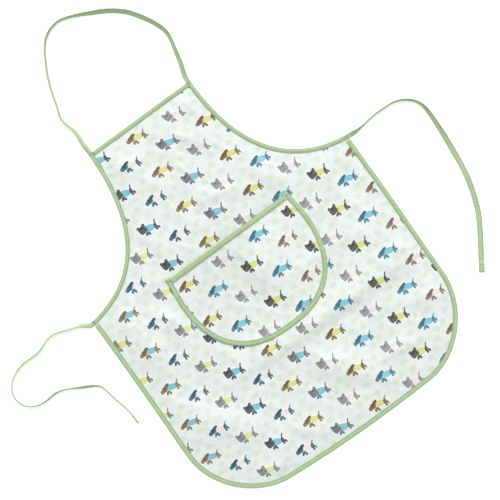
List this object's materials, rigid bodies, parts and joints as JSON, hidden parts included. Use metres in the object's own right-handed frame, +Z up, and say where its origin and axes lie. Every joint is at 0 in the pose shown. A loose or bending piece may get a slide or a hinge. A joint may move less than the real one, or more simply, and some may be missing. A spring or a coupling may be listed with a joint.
{
  "type": "child's bib apron",
  "caption": "Child's bib apron of wipe-clean printed cloth, bound in green tape that runs on as a neck loop and two waist ties, with a half-moon patch pocket.",
  "frame": {"origin": "on the surface the apron lies on, under the middle of the apron without its neck loop and ties", "axes": "+X across the apron to the viewer's right, +Y from the hem to the neck, +Z up out of the printed front"},
  "size_m": [0.7857, 0.7932, 0.0117],
  "materials": {
    "coated_cotton": "woven cotton with a clear wipe-clean coating, printed with small animals",
    "green_bias_tape": "matt plain-weave bias tape",
    "green_thread": "satin polyester sewing thread"
  },
  "bodies": {
    "apron": {"bib_top_binding": "green_bias_tape", "bib_top_seam": "green_thread", "body_panel": "coated_cotton", "left_armhole_binding": "green_bias_tape", "left_armhole_seam": "green_thread", "left_bib_tack": "green_thread", "left_pocket_tack": "green_thread", "left_waist_tack": "green_thread", "pocket_edge_binding": "green_bias_tape", "pocket_edge_seam": "green_thread", "pocket_mouth_binding": "green_bias_tape", "pocket_mouth_seam": "green_thread", "pocket_panel": "coated_cotton", "right_armhole_binding": "green_bias_tape", "right_armhole_seam": "green_thread", "right_bib_tack": "green_thread", "right_pocket_tack": "green_thread", "right_waist_tack": "green_thread", "skirt_binding": "green_bias_tape", "skirt_seam": "green_thread"},
    "neck_loop": {"neck_loop": "green_bias_tape", "neck_loop_seam": "green_thread"},
    "left_tie": {"left_tie": "green_bias_tape", "left_tie_seam": "green_thread", "left_tie_end_stitch": "green_thread"},
    "right_tie": {"right_tie": "green_bias_tape", "right_tie_seam": "green_thread", "right_tie_end_stitch": "green_thread"}
  },
  "joints": [
    {"name": "neck_loop_fold", "type": "hinge", "parent": "apron", "child": "neck_loop", "pos_m": [-0.00486, 0.29786, 0.0024], "axis": [0.9997, 0.0232, 0], "range_deg": [0, 150]},
    {"name": "left_tie_fold", "type": "hinge", "parent": "apron", "child": "left_tie", "pos_m": [-0.24694, 0.07937, 0.0024], "axis": [-0.1812, 0.9834, 0], "range_deg": [0, 150]},
    {"name": "right_tie_fold", "type": "hinge", "parent": "apron", "child": "right_tie", "pos_m": [0.24506, 0.09235, 0.0024], "axis": [-0.1302, -0.9915, 0], "range_deg": [0, 150]}
  ]
}
